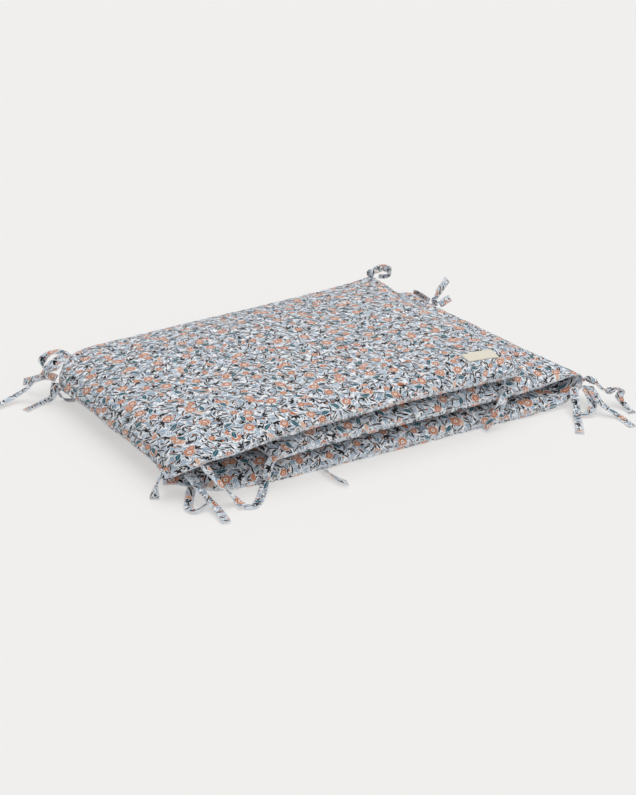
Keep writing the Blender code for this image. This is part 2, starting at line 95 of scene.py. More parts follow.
# ---------------------------------------------------------------- the folded strip's sections
# x, z: middle of the padding; out, inn: padding above and below it (1 = half of PAD)
# lean: how late the padding's middle turns towards its two seams
# front_*, back_*: where the two seams lie
SECTION_COLUMNS = (
    "x", "z", "out", "inn", "lean", "front_x", "front_y", "front_z", "back_x", "back_y", "back_z",
)
SECTIONS = (
    # top layer, from its open end towards the tall fold
    (0.2385, 0.0612, 1.02, 0.85, 1.9, 0.199, -0.203, 0.0565, 0.259, 0.222, 0.0625),
    (0.178, 0.0690, 1.00, 0.92, 2.1, 0.150, -0.205, 0.0605, 0.196, 0.210, 0.0620),
    (0.050, 0.0709, 1.00, 0.86, 2.0, 0.046, -0.204, 0.0645, 0.056, 0.203, 0.0610),
    (-0.080, 0.0687, 1.00, 0.84, 2.0, -0.080, -0.201, 0.0635, -0.080, 0.200, 0.0605),
    (-0.180, 0.0638, 0.98, 0.84, 3.0, -0.178, -0.199, 0.0592, -0.180, 0.198, 0.0590),
    (-0.238, 0.0587, 0.96, 0.90, 4.0, -0.236, -0.198, 0.0525, -0.235, 0.197, 0.0585),
    # the tall fold: down its outer face, with the corners pushed out where the ties pull
    (-0.268, 0.0530, 0.98, 0.80, 4.5, -0.266, -0.194, 0.0500, -0.263, 0.192, 0.0570),
    (-0.285, 0.0445, 0.98, 0.62, 4.5, -0.285, -0.187, 0.0425, -0.284, 0.183, 0.0500),
    (-0.2905, 0.0350, 0.98, 0.50, 5.0, -0.298, -0.173, 0.0315, -0.297, 0.172, 0.0365),
    (-0.2850, 0.0250, 0.98, 0.50, 5.0, -0.311, -0.157, 0.0165, -0.296, 0.173, 0.0200),
    (-0.2670, 0.0178, 0.98, 0.70, 5.0, -0.290, -0.149, 0.0065, -0.280, 0.179, 0.0100),
    # bottom layer
    (-0.240, 0.0135, 1.03, 1.00, 3.0, -0.252, -0.187, 0.0045, -0.250, 0.187, 0.0070),
    (-0.120, 0.0130, 1.20, 1.00, 2.0, -0.120, -0.203, 0.0055, -0.120, 0.199, 0.0070),
    (0.020, 0.0130, 1.20, 1.00, 2.0, 0.020, -0.211, 0.0055, 0.020, 0.202, 0.0070),
    (0.150, 0.0130, 1.20, 1.00, 2.0, 0.150, -0.217, 0.0055, 0.150, 0.199, 0.0070),
    (0.235, 0.0125, 1.08, 0.92, 2.5, 0.236, -0.223, 0.0060, 0.238, 0.193, 0.0085),
    # the low fold
    (0.270, 0.0130, 0.92, 0.72, 3.0, 0.276, -0.222, 0.0090, 0.277, 0.190, 0.0130),
    (0.2845, 0.0175, 0.86, 0.58, 3.0, 0.306, -0.213, 0.0170, 0.304, 0.190, 0.0205),
    (0.290, 0.0260, 0.84, 0.55, 3.0, 0.317, -0.204, 0.0275, 0.318, 0.191, 0.0290),
    (0.2845, 0.0345, 0.84, 0.58, 3.0, 0.300, -0.205, 0.0335, 0.302, 0.191, 0.0355),
    (0.268, 0.0390, 0.90, 0.72, 2.5, 0.272, -0.207, 0.0345, 0.274, 0.192, 0.0360),
    # middle layer, back towards its open end inside the tall fold
    (0.225, 0.0406, 0.90, 0.88, 2.0, 0.226, -0.209, 0.0340, 0.228, 0.195, 0.0345),
    (0.120, 0.0430, 1.05, 1.08, 2.0, 0.120, -0.209, 0.0362, 0.120, 0.199, 0.0335),
    (-0.020, 0.0428, 1.06, 1.08, 2.0, -0.020, -0.206, 0.0372, -0.020, 0.200, 0.0330),
    (-0.130, 0.0412, 0.96, 0.98, 2.0, -0.128, -0.202, 0.0352, -0.132, 0.198, 0.0315),
    (-0.188, 0.0375, 0.82, 0.80, 2.0, -0.180, -0.199, 0.0300, -0.194, 0.197, 0.0290),
)

# turn is the strap's turn about its own line in degrees: 0 lies flat, 90 stands on edge.
# wide is the share of STRAP_WIDTH, less than 1 where a knot gathers it.
STRAP_COLUMNS = ("x", "y", "z", "turn", "wide")
STRAPS = {
    "tie_tall_back_loop": (
        (-0.276, 0.188, 0.0557, 30, 1), (-0.278, 0.192, 0.0590, 15, 1), (-0.281, 0.204, 0.0590, 15, 1),
        (-0.287, 0.215, 0.0565, 15, 1), (-0.296, 0.219, 0.0520, 25, 1), (-0.303, 0.218, 0.0460, 40, 1),
        (-0.304, 0.214, 0.0400, 50, 1), (-0.302, 0.207, 0.0350, 40, 1), (-0.292, 0.210, 0.0310, 20, 1),
        (-0.282, 0.220, 0.0300, 10, 1), (-0.276, 0.228, 0.0310, 10, 1)),
    "tie_tall_back_wide": (
        (-0.304, 0.169, 0.0370, 50, 1), (-0.306, 0.182, 0.0360, 50, 1), (-0.309, 0.197, 0.0320, 50, 1),
        (-0.314, 0.209, 0.0260, 52, 1), (-0.319, 0.223, 0.0190, 52, 1), (-0.325, 0.236, 0.0130, 52, 1)),
    "tie_tall_back_long": (
        (-0.285, 0.181, 0.0600, 55, 1), (-0.293, 0.180, 0.0590, 55, 1), (-0.301, 0.179, 0.0565, 50, 1),
        (-0.309, 0.180, 0.0520, 40, 1), (-0.316, 0.184, 0.0440, 25, 1), (-0.324, 0.193, 0.0310, 15, 1),
        (-0.333, 0.201, 0.0190, 10, 1), (-0.347, 0.206, 0.0100, 5, 1), (-0.362, 0.204, 0.0060, 0, 1),
        (-0.379, 0.199, 0.0050, 0, 1)),
    "tie_tall_back_low": (
        (-0.304, 0.174, 0.0290, 60, 1), (-0.306, 0.173, 0.0220, 60, 1), (-0.308, 0.173, 0.0140, 50, 1),
        (-0.312, 0.175, 0.0070, 35, 1), (-0.319, 0.179, 0.0028, 10, 1), (-0.330, 0.177, 0.0014, 0, 1),
        (-0.352, 0.168, 0.0014, 0, 1)),
    "tie_tall_back_tuck": (
        (-0.298, 0.176, 0.0190, 40, 0.8), (-0.299, 0.175, 0.0130, 60, 0.8), (-0.297, 0.173, 0.0068, 40, 1),
        (-0.293, 0.170, 0.0030, 15, 1), (-0.288, 0.166, 0.0018, 0, 1), (-0.281, 0.163, 0.0018, 0, 1)),
    "tie_tall_front_ear": (
        (-0.308, -0.163, 0.0310, 0, 0.5), (-0.314, -0.159, 0.0279, 0, 0.6), (-0.318, -0.157, 0.0226, 0, 1),
        (-0.321, -0.156, 0.0129, 0, 1), (-0.324, -0.157, 0.0055, 0, 1), (-0.327, -0.161, 0.0016, 0, 1)),
    "tie_tall_front_curl": (
        (-0.270, -0.171, 0.0064, 20, 1), (-0.275, -0.175, 0.0125, 20, 1), (-0.285, -0.179, 0.0120, 10, 1),
        (-0.292, -0.186, 0.0080, 5, 1), (-0.298, -0.194, 0.0040, 0, 1), (-0.304, -0.205, 0.0022, 0, 1),
        (-0.302, -0.215, 0.0016, 10, 1), (-0.291, -0.214, 0.0030, 30, 1), (-0.281, -0.209, 0.0040, 40, 1)),
    "tie_tall_front_wide": (
        (-0.290, -0.171, 0.0342, -15, 1), (-0.287, -0.172, 0.0300, -15, 1),
        (-0.286, -0.182, 0.0270, -10, 1), (-0.286, -0.193, 0.0229, -5, 1), (-0.285, -0.206, 0.0178, 0, 1),
        (-0.282, -0.212, 0.0113, 0, 1), (-0.280, -0.222, 0.0065, 0, 1), (-0.281, -0.240, 0.0046, 0, 1),
        (-0.284, -0.260, 0.0023, 0, 1)),
    "tie_middle_front": (
        (-0.179, -0.198, 0.0345, 10, 1), (-0.186, -0.200, 0.0315, 10, 1), (-0.192, -0.203, 0.0250, 5, 1),
        (-0.196, -0.205, 0.0170, 0, 1), (-0.200, -0.208, 0.0100, 0, 1), (-0.206, -0.214, 0.0050, 0, 1),
        (-0.216, -0.225, 0.0020, 0, 1), (-0.227, -0.236, 0.0014, 0, 1), (-0.237, -0.242, 0.0014, 0, 1),
        (-0.247, -0.237, 0.0014, 0, 1)),
    "tie_tall_front_right": (
        (-0.274, -0.191, 0.0445, 10, 1), (-0.274, -0.202, 0.0403, 5, 1), (-0.269, -0.211, 0.0322, 0, 1),
        (-0.264, -0.217, 0.0240, 0, 1), (-0.257, -0.219, 0.0152, 0, 1), (-0.251, -0.223, 0.0073, 0, 1),
        (-0.249, -0.228, 0.0039, 0, 1), (-0.249, -0.239, 0.0044, 0, 1)),
    "tie_under_front": (
        (-0.114, -0.205, 0.0030, 10, 1), (-0.115, -0.218, 0.0033, 40, 1), (-0.117, -0.234, 0.0044, 60, 1),
        (-0.115, -0.247, 0.0042, 60, 1), (-0.112, -0.257, 0.0042, 60, 1)),
    "tie_top_front": (
        (0.171, -0.210, 0.0590, 80, 1), (0.170, -0.212, 0.0525, 80, 1), (0.168, -0.215, 0.0420, 70, 1),
        (0.161, -0.218, 0.0300, 30, 1), (0.148, -0.222, 0.0190, 10, 1), (0.137, -0.224, 0.0090, 0, 1),
        (0.128, -0.225, 0.0030, 0, 1)),
    "tie_top_back_loop": (
        (0.249, 0.217, 0.0695, -50, 0.4), (0.258, 0.219, 0.0710, -50, 0.6), (0.269, 0.224, 0.0714, -50, 1),
        (0.286, 0.229, 0.0707, -50, 1), (0.291, 0.220, 0.0690, -60, 1), (0.289, 0.212, 0.0660, -80, 1),
        (0.277, 0.209, 0.0640, -60, 1), (0.267, 0.214, 0.0640, -50, 1)),
    "tie_low_front_drop": (
        (0.304, -0.214, 0.0182, 5, 1), (0.305, -0.219, 0.0220, 5, 1), (0.300, -0.233, 0.0210, 0, 1),
        (0.294, -0.247, 0.0170, 0, 1), (0.290, -0.256, 0.0110, 0, 1), (0.281, -0.262, 0.0060, 0, 1),
        (0.272, -0.260, 0.0034, 0, 1), (0.268, -0.252, 0.0024, 0, 1)),
    "tie_low_front_bow": (
        (0.313, -0.208, 0.0240, 20, 0.7), (0.314, -0.217, 0.0310, 20, 0.7),
        (0.318, -0.230, 0.0280, 10, 0.7), (0.321, -0.242, 0.0220, 0, 0.65), (0.327, -0.248, 0.0200, 0, 0.4),
        (0.334, -0.248, 0.0205, 0, 0.5), (0.340, -0.249, 0.0210, 0, 1), (0.343, -0.255, 0.0180, 0, 1),
        (0.336, -0.259, 0.0130, 0, 1), (0.336, -0.269, 0.0060, 0, 1), (0.336, -0.277, 0.0024, 0, 1),
        (0.332, -0.290, 0.0012, 0, 1)),
    "tie_low_front_long": (
        (0.308, -0.229, 0.0248, 10, 1), (0.301, -0.247, 0.0210, 0, 1), (0.297, -0.262, 0.0158, 0, 1),
        (0.301, -0.274, 0.0093, 0, 1), (0.307, -0.286, 0.0037, 0, 1), (0.306, -0.302, 0.0014, 0, 1),
        (0.301, -0.322, 0.0012, 0, 1)),
    "tie_low_front_down": (
        (0.291, -0.213, 0.0169, 5, 0.45), (0.291, -0.216, 0.0220, 5, 1), (0.280, -0.230, 0.0184, 0, 1),
        (0.271, -0.243, 0.0121, 0, 1), (0.263, -0.255, 0.0064, 0, 1), (0.254, -0.267, 0.0029, 0, 1),
        (0.242, -0.283, 0.0020, 0, 1), (0.228, -0.300, 0.0014, 0, 1)),
    "tie_low_back_run": (
        (0.320, 0.192, 0.0291, -85, 1), (0.325, 0.196, 0.0300, -85, 1), (0.323, 0.182, 0.0320, -85, 1),
        (0.319, 0.168, 0.0335, -85, 1), (0.315, 0.155, 0.0350, -80, 1), (0.313, 0.142, 0.0355, -60, 0.8)),
    "tie_low_back_out": (
        (0.321, 0.125, 0.0330, -60, 0.8), (0.327, 0.126, 0.0345, -60, 1), (0.336, 0.129, 0.0360, -60, 1),
        (0.345, 0.130, 0.0380, -60, 1)),
    "tie_low_back_up": (
        (0.307, 0.127, 0.0341, -60, 0.5), (0.311, 0.126, 0.0360, -60, 0.5),
        (0.318, 0.133, 0.0400, -60, 0.6), (0.331, 0.142, 0.0470, -60, 1), (0.344, 0.148, 0.0530, -60, 1),
        (0.356, 0.153, 0.0600, -60, 1)),
    "tie_middle_back": (
        (-0.190, 0.198, 0.0290, 20, 1), (-0.190, 0.203, 0.0290, 20, 1), (-0.192, 0.211, 0.0240, 10, 1),
        (-0.197, 0.221, 0.0130, 5, 1), (-0.203, 0.231, 0.0040, 0, 1), (-0.209, 0.243, 0.0014, 0, 1),
        (-0.214, 0.256, 0.0012, 0, 1)),
}

# The bands of the knots: the tie each one goes round, the first of the tie's sections it covers, and how many
WRAP_COLUMNS = ("strap", "first", "count")
WRAPS = {
    "knot_top_back": ("tie_top_back_loop", 0, 2),
    "knot_low_back": ("tie_low_back_up", 1, 2),
    "knot_low_front": ("tie_low_front_bow", 7, 2),
    "knot_low_corner": ("tie_low_front_bow", 2, 2),
    "knot_tall_front": ("tie_tall_front_ear", 0, 2),
}

# ---------------------------------------------------------------- the cloth's creases and puckers
CLOTH_EASE = 0.035           # the cloth is let out by this share inside its seams
CLOTH_FRAMES = 12
CREASE_REACH = 3             # a wave wider than this many steps belongs to the form, not to the creases
CREASE_SHARE = 0.35          # how much of a crease is kept
CREASE_CAP = 0.0013          # and its height at most
SAG_DEPTH = 0.0010           # how uneven the filling is
SAG_WIDE, SAG_ALONG = 0.075, 0.3       # over what length, seen from above and along the cloth
SAG_EDGE = 0.03              # it fades towards a seam over this length
HELD = 0.25                  # how freely cloth moves where a layer lies on it
FRONT_FREE, FRONT_DEPTH = 0.8, 0.02    # and near its seam, over this length
TOP_HEIGHT, FOLD_PLACE = 0.045, 0.262  # above this height, or past this place, the outer face lies free
RESTING_FACING, RESTING_HEIGHT = -0.9, 0.002   # cloth that faces down and lies lower rests on the floor

# ---------------------------------------------------------------- the camera, the light and the floor
CAMERA_PLACE = (-1.039, -1.6075, 0.832)
CAMERA_TURN = (math.radians(66.45), 0.0, math.radians(-33.2))
CAMERA_LENS = 67.9
CAMERA_SENSOR = 36.0
FLOOR_SIZE = 14.0
FLOOR_PLACE = (0.0, 2.0, -0.0002)
FLOOR_TONE = "#b7b6b5"
FLOOR_GLOW = "#fffefc"
FLOOR_SHINE = 0.435
WORLD_GLOW = 0.42
# Each lamp's direction, its strength and the width of its light in degrees
LAMPS = {
    "overhead": ((0.30, 0.25, 1.0), 1.42, 60),
    "front_soft": ((0.10, -1.0, 0.80), 0.42, 60),
}

# ---------------------------------------------------------------- the cloth's colours
GROUND = "#fafafc"
WASH = "#c3d0dd"
PALE_LEAF = "#a3b8cb"
BLUE_LEAF = "#7791a9"
GREY_LEAF = "#5f6267"
DARK_LEAF = "#1b191b"
STEM = "#262428"
BLOOM = "#c0714a"
BLOOM_DEEP = "#98502f"
BLOOM_PALE = "#e6c3ad"
HEART = "#efe7e0"
BUD = "#0f5a68"
# painted highlight: the pale line along a sewn or folded edge, where the edge catches the light
PAINTED_EDGE_HIGHLIGHT = "#dfe4ea"
THREAD = "#eceef2"
LABEL_TONE = "#efe9d9"
LABEL_SHADE = "#d8d0bb"
LABEL_THREAD = "#cfc6b0"

# ---------------------------------------------------------------- the print's drawing
INK_EDGE = 0.00022           # softness of a printed edge
VEIN = 0.00022               # half the width of a leaf's middle line
HALO = 0.00045               # bare ground left round a motif
RIM_LINE, RING_LINE = 0.0008, 0.0006   # width of a flower's rim, and half the width of its ring
RIM_OUT, RIM_WAVE = 0.86, 0.12         # where the rim is and how deep its lobes are, as shares of the size
RING_OUT, RING_WAVE = 0.50, 0.05       # and the ring
HEART_OUT, EYE_OUT = 0.36, 0.15        # where the heart and the dot in it end
BLOOM_LEAST, BLOOM_MORE = 0.8, 0.3     # the smallest flower's share of the size, and what chance adds to it
FAN_LOOSE, DOT_LOOSE = 0.6, 0.9        # how unevenly fans and dots lie
FAN_BACK, FINGER_OUT = 0.45, 0.5       # where a fan and its fingers start, as shares of a finger's length
SPECKLE = (900.0, 9.0, -4.2)           # a grain's scale, its contrast and its level
WASH_GRAIN = (150.0, 7.0, -3.2)

# ---------------------------------------------------------------- stitches and weave
EDGE_HIGHLIGHT_FADE = 0.0008           # softness of the painted highlight along a sewn edge
THREAD_HALF, THREAD_EDGE = 0.0003, 0.0002
THREAD_FADE = 0.6            # how softly a stitch ends, as a share of its length
STITCH_STEP, LABEL_STITCH_STEP = 0.0030, 0.0026
LABEL_THREAD_AT = 0.0016     # the label's stitches lie this far from its end
STITCH_HEIGHT = 0.6          # over the weave
WEAVE_SCALE = 900.0
CLOTH_SPECULAR = 0.25
COTTON_ROUGH, TAPE_ROUGH = 0.92, 0.85
SHEEN, SHEEN_ROUGH = 0.12, 0.5
COTTON_DENT, TAPE_DENT = (0.25, 0.0004), (0.3, 0.0003)   # strength and depth of the weave's relief
TWILL_STEP = 0.0009
TWILL_CONTRAST, TWILL_LEVEL = 0.10, 0.12
TWILL_HEIGHT = 0.4


def tone(code):
    """The linear colour of a painter's sRGB code."""
    parts = [int(code[k:k + 2], 16) / 255 for k in (1, 3, 5)]
    return tuple(c / 12.92 if c <= 0.04045 else ((c + 0.055) / 1.055) ** 2.4 for c in parts) + (1.0,)


# ---------------------------------------------------------------- the printed cotton
def put(tree, kind, **settings):
    made = tree.nodes.new(kind)
    for key, value in settings.items():
        setattr(made, key, value)
    return made


def feed(tree, socket, value):
    if isinstance(value, bpy.types.NodeSocket):
        tree.links.new(value, socket)
    else:
        socket.default_value = value


def calc(tree, operation, *values, clamp=False):
    made = put(tree, "ShaderNodeMath", operation=operation, use_clamp=clamp)
    for socket, value in zip(made.inputs, values):
        feed(tree, socket, value)
    return made.outputs[0]


def between(tree, factor, first, second):
    made = put(tree, "ShaderNodeMix", data_type="RGBA")
    for index, value in ((0, factor), (6, first), (7, second)):
        feed(tree, made.inputs[index], value)
    return made.outputs[2]


def square(tree, value):
    return calc(tree, "MULTIPLY", value, value)


def away_from(tree, along, across):
    return calc(tree, "SQRT", calc(tree, "ADD", square(tree, along), square(tree, across)))


def scatter(tree, place, spacing, shift, loose):
    """Motifs strewn over the cloth: this spot's place along and across its nearest one, which is turned by
    chance, and that motif's random numbers."""
    moved = put(tree, "ShaderNodeVectorMath", operation="ADD")
    feed(tree, moved.inputs[0], place)
    moved.inputs[1].default_value = (shift[0], shift[1], 0.0)
    cells = put(tree, "ShaderNodeTexVoronoi", voronoi_dimensions="2D", feature="F1")
    feed(tree, cells.inputs["Vector"], moved.outputs[0])
    cells.inputs["Scale"].default_value = 1 / spacing
    cells.inputs["Randomness"].default_value = loose
    local = put(tree, "ShaderNodeVectorMath", operation="SUBTRACT")
    feed(tree, local.inputs[0], moved.outputs[0])
    feed(tree, local.inputs[1], cells.outputs["Position"])
    chance = put(tree, "ShaderNodeSeparateColor")
    feed(tree, chance.inputs[0], cells.outputs["Color"])
    turn = put(tree, "ShaderNodeVectorRotate", rotation_type="Z_AXIS")
    feed(tree, turn.inputs["Vector"], local.outputs[0])
    feed(tree, turn.inputs["Angle"], calc(tree, "MULTIPLY", chance.outputs[0], 2 * math.pi))
    parts = put(tree, "ShaderNodeSeparateXYZ")
    feed(tree, parts.inputs[0], turn.outputs[0])
    return parts.outputs[0], parts.outputs[1], chance.outputs


def inked(tree, inside, edge=INK_EDGE):
    return calc(tree, "MULTIPLY_ADD", inside, 1 / edge, 0.5, clamp=True)


def leaf(tree, along, across, length, width, bend=0.0):
    """How far inside a pointed leaf the spot lies, and how far from the leaf's middle line."""
    squared = square(tree, along)
    room = calc(tree, "MULTIPLY_ADD", squared, -2 * width / length**2, width / 2)
    off = calc(tree, "ABSOLUTE", calc(tree, "MULTIPLY_ADD", squared, bend, across))
    return calc(tree, "SUBTRACT", room, off), off


def leaf_layer(tree, place, color, spacing, shift, loose, length, width, bend, tones, vein=None, halo=0.0):
    """Loose leaves printed over the colour so far, each somewhere between two tones."""
    along, across, chance = scatter(tree, place, spacing, shift, loose)
    inside, off = leaf(tree, along, across, length, width, bend)
    shade = between(tree, chance[1], tone(tones[0]), tone(tones[1]))
    if vein:
        shade = between(tree, inked(tree, calc(tree, "SUBTRACT", VEIN, off)), shade, tone(vein))
    if halo:
        color = between(tree, inked(tree, calc(tree, "ADD", inside, halo)), color, tone(GROUND))
    return between(tree, inked(tree, inside), color, shade)


def fan_layer(tree, place, color, spacing, shift, step, reach, length, width, tones):
    """Leaves or petals that spread from one point, like the fingers of a hand; step and reach are degrees."""
    along, across, chance = scatter(tree, place, spacing, shift, FAN_LOOSE)
    along = calc(tree, "ADD", along, length * FAN_BACK)
    angle = calc(tree, "ARCTAN2", across, along)
    away = away_from(tree, along, across)
    finger = calc(tree, "ROUND", calc(tree, "DIVIDE", angle, math.radians(step)))
    own = calc(tree, "SUBTRACT", angle, calc(tree, "MULTIPLY", finger, math.radians(step)))
    out = calc(tree, "SUBTRACT", calc(tree, "MULTIPLY", away, calc(tree, "COSINE", own)), length * FINGER_OUT)
    off = calc(tree, "MULTIPLY", away, calc(tree, "SINE", own))
    inside, _ = leaf(tree, out, off, length, width)
    within = calc(tree, "LESS_THAN", calc(tree, "ABSOLUTE", angle), math.radians(reach))
    shade = between(tree, chance[1], tone(tones[0]), tone(tones[1]))
    ring = inked(tree, calc(tree, "ADD", inside, HALO))
    color = between(tree, calc(tree, "MULTIPLY", ring, within), color, tone(GROUND))
    return between(tree, calc(tree, "MULTIPLY", inked(tree, inside), within), color, shade)


def bloom_layer(tree, place, color, spacing, shift, loose, size, petals, speckle, outer, heart):
    """Round flowers: speckled petals with a drawn rim, a darker ring and a pale heart."""
    along, across, chance = scatter(tree, place, spacing, shift, loose)
    away = away_from(tree, along, across)
    away = calc(tree, "DIVIDE", away, calc(tree, "MULTIPLY_ADD", chance[1], BLOOM_MORE, BLOOM_LEAST))
    wave = calc(tree, "COSINE", calc(tree, "MULTIPLY", calc(tree, "ARCTAN2", across, along), petals))
    rim = calc(tree, "MULTIPLY_ADD", wave, RIM_WAVE * size, RIM_OUT * size)
    inside = calc(tree, "SUBTRACT", rim, away)
    lobes = calc(tree, "MULTIPLY_ADD", wave, RING_WAVE * size, RING_OUT * size)
    off_ring = calc(tree, "ABSOLUTE", calc(tree, "SUBTRACT", away, lobes))
    ink = tone(BLOOM)
    petal = between(tree, speckle, tone(BLOOM_PALE), tone(outer))
    petal = between(tree, inked(tree, calc(tree, "SUBTRACT", RIM_LINE, inside)), petal, ink)
    petal = between(tree, inked(tree, calc(tree, "SUBTRACT", RING_LINE, off_ring)), petal, ink)
    petal = between(tree, inked(tree, calc(tree, "SUBTRACT", HEART_OUT * size, away)), petal, tone(heart))
    petal = between(tree, inked(tree, calc(tree, "SUBTRACT", EYE_OUT * size, away)), petal, ink)
    color = between(tree, inked(tree, calc(tree, "ADD", inside, HALO)), color, tone(GROUND))
    return between(tree, inked(tree, inside), color, petal)


def dot_layer(tree, place, color, spacing, shift, size, dot):
    along, across, _ = scatter(tree, place, spacing, shift, DOT_LOOSE)
    away = away_from(tree, along, across)
    return between(tree, inked(tree, calc(tree, "SUBTRACT", size, away)), color, tone(dot))


def grain(tree, place, scale, contrast, level):
    """A soft noise over the cloth, stretched to run from 0 to 1."""
    noise_node = put(tree, "ShaderNodeTexNoise", noise_dimensions="2D")
    feed(tree, noise_node.inputs["Vector"], place)
    noise_node.inputs["Scale"].default_value = scale
    return calc(tree, "MULTIPLY_ADD", noise_node.outputs[0], contrast, level, clamp=True)


def print_color(tree, place):
    """A dense small garden print: pale and dark leaves, round flowers and blue-green buds on off-white."""
    speckle = grain(tree, place, *SPECKLE)
    color = between(tree, grain(tree, place, *WASH_GRAIN), tone(GROUND), tone(WASH))
    color = leaf_layer(tree, place, color, spacing=0.0115, shift=(0.31, 0.17), loose=0.8, length=0.0140,
                       width=0.0066, bend=9.0, tones=(PALE_LEAF, WASH), vein=GROUND, halo=HALO)
    color = leaf_layer(tree, place, color, spacing=0.0125, shift=(1.73, 0.61), loose=0.8, length=0.0125,
                       width=0.0048, bend=-14.0, tones=(BLUE_LEAF, PALE_LEAF), vein=GROUND, halo=HALO)
    color = fan_layer(tree, place, color, spacing=0.0230, shift=(2.11, 1.37), step=38, reach=95,
                      length=0.0085, width=0.0034, tones=(BLUE_LEAF, PALE_LEAF))
    color = leaf_layer(tree, place, color, spacing=0.0105, shift=(3.07, 2.23), loose=0.9, length=0.0115,
                       width=0.0034, bend=-24.0, tones=(DARK_LEAF, GREY_LEAF), halo=HALO)
    color = leaf_layer(tree, place, color, spacing=0.0125, shift=(9.17, 7.51), loose=0.9, length=0.0180,
                       width=0.0023, bend=26.0, tones=(STEM, DARK_LEAF), halo=HALO)
    color = fan_layer(tree, place, color, spacing=0.0250, shift=(4.49, 3.11), step=48, reach=72,
                      length=0.0085, width=0.0036, tones=(DARK_LEAF, STEM))
    color = leaf_layer(tree, place, color, spacing=0.0150, shift=(5.83, 9.29), loose=0.9, length=0.0120,
                       width=0.0015, bend=34.0, tones=(GROUND, GROUND))
    color = dot_layer(tree, place, color, spacing=0.0125, shift=(5.21, 1.91), size=0.0009, dot=BLUE_LEAF)
    color = dot_layer(tree, place, color, spacing=0.0210, shift=(7.31, 2.57), size=0.0014, dot=BLOOM)
    color = fan_layer(tree, place, color, spacing=0.0450, shift=(1.19, 8.03), step=36, reach=90,
                      length=0.0062, width=0.0034, tones=(BLOOM, BLOOM_PALE))
    color = bloom_layer(tree, place, color, spacing=0.0400, shift=(6.13, 4.07), loose=0.55, size=0.0074,
                        petals=8, speckle=speckle, outer=BLOOM, heart=HEART)
    color = bloom_layer(tree, place, color, spacing=0.0410, shift=(7.77, 5.39), loose=0.65, size=0.0056,
                        petals=5, speckle=speckle, outer=BLOOM_DEEP, heart=BLOOM_PALE)
    return leaf_layer(tree, place, color, spacing=0.0390, shift=(8.31, 6.43), loose=0.6, length=0.0150,
                      width=0.0056, bend=22.0, tones=(BUD, BUD), vein=PALE_LEAF, halo=HALO)


def woven(name, roughness):
    """A cloth's material, the spot's place on the print, and its distances from the edge and along it."""
    material = bpy.data.materials.new(name)
    material.use_nodes = True
    tree = material.node_tree
    shader = tree.nodes["Principled BSDF"]
    shader.inputs["Roughness"].default_value = roughness
    shader.inputs["Specular IOR Level"].default_value = CLOTH_SPECULAR
    place = put(tree, "ShaderNodeUVMap", uv_map="print").outputs[0]
    edge = put(tree, "ShaderNodeSeparateXYZ")
    feed(tree, edge.inputs[0], put(tree, "ShaderNodeUVMap", uv_map="edge").outputs[0])
    return material, tree, shader, place, edge.outputs


def stitch_line(tree, edge, thread_at, step):
    wave = calc(tree, "SINE", calc(tree, "MULTIPLY", edge[1], 2 * math.pi / step))
    near = calc(tree, "ABSOLUTE", calc(tree, "SUBTRACT", edge[0], thread_at))
    line = inked(tree, calc(tree, "SUBTRACT", THREAD_HALF, near), THREAD_EDGE)
    return calc(tree, "MULTIPLY", line, inked(tree, wave, THREAD_FADE))


def raise_weave(tree, shader, height, dent):
    bump = put(tree, "ShaderNodeBump")
    bump.inputs["Strength"].default_value, bump.inputs["Distance"].default_value = dent
    feed(tree, bump.inputs["Height"], height)
    feed(tree, shader.inputs["Normal"], bump.outputs[0])


def cotton(name, highlight_width, thread_at, highlight_share):
    """Printed woven cotton with a line of stitches; a pale line along its sewn edge is painted highlight."""
    material, tree, shader, place, edge = woven(name, COTTON_ROUGH)
    # painted highlight along the sewn edge, standing in for the light caught by its fold
    edge_highlight = inked(tree, calc(tree, "SUBTRACT", highlight_width, edge[0]), EDGE_HIGHLIGHT_FADE)
    edge_highlight = calc(tree, "MULTIPLY", edge_highlight, highlight_share)
    color = between(tree, edge_highlight, print_color(tree, place), tone(PAINTED_EDGE_HIGHLIGHT))
    stitch = stitch_line(tree, edge, thread_at, STITCH_STEP)
    feed(tree, shader.inputs["Base Color"], between(tree, stitch, color, tone(THREAD)))
    shader.inputs["Sheen Weight"].default_value = SHEEN
    shader.inputs["Sheen Roughness"].default_value = SHEEN_ROUGH
    weave = put(tree, "ShaderNodeTexNoise", noise_dimensions="2D")
    feed(tree, weave.inputs["Vector"], place)
    weave.inputs["Scale"].default_value = WEAVE_SCALE
    height = calc(tree, "MULTIPLY_ADD", stitch, STITCH_HEIGHT, weave.outputs[0])
    raise_weave(tree, shader, height, COTTON_DENT)
    return material


def plain_tape(name):
    """Cream twill tape."""
    material, tree, shader, place, edge = woven(name, TAPE_ROUGH)
    parts = put(tree, "ShaderNodeSeparateXYZ")
    feed(tree, parts.inputs[0], place)
    slant = calc(tree, "ADD", parts.outputs[0], parts.outputs[1])
    twill = calc(tree, "SINE", calc(tree, "MULTIPLY", slant, 2 * math.pi / TWILL_STEP))
    shade = calc(tree, "MULTIPLY_ADD", twill, TWILL_CONTRAST, TWILL_LEVEL, clamp=True)
    color = between(tree, shade, tone(LABEL_TONE), tone(LABEL_SHADE))
    stitch = stitch_line(tree, edge, LABEL_THREAD_AT, LABEL_STITCH_STEP)
    feed(tree, shader.inputs["Base Color"], between(tree, stitch, color, tone(LABEL_THREAD)))
    height = calc(tree, "SUBTRACT", calc(tree, "MULTIPLY", twill, TWILL_HEIGHT), stitch)
    raise_weave(tree, shader, height, TAPE_DENT)
    return material


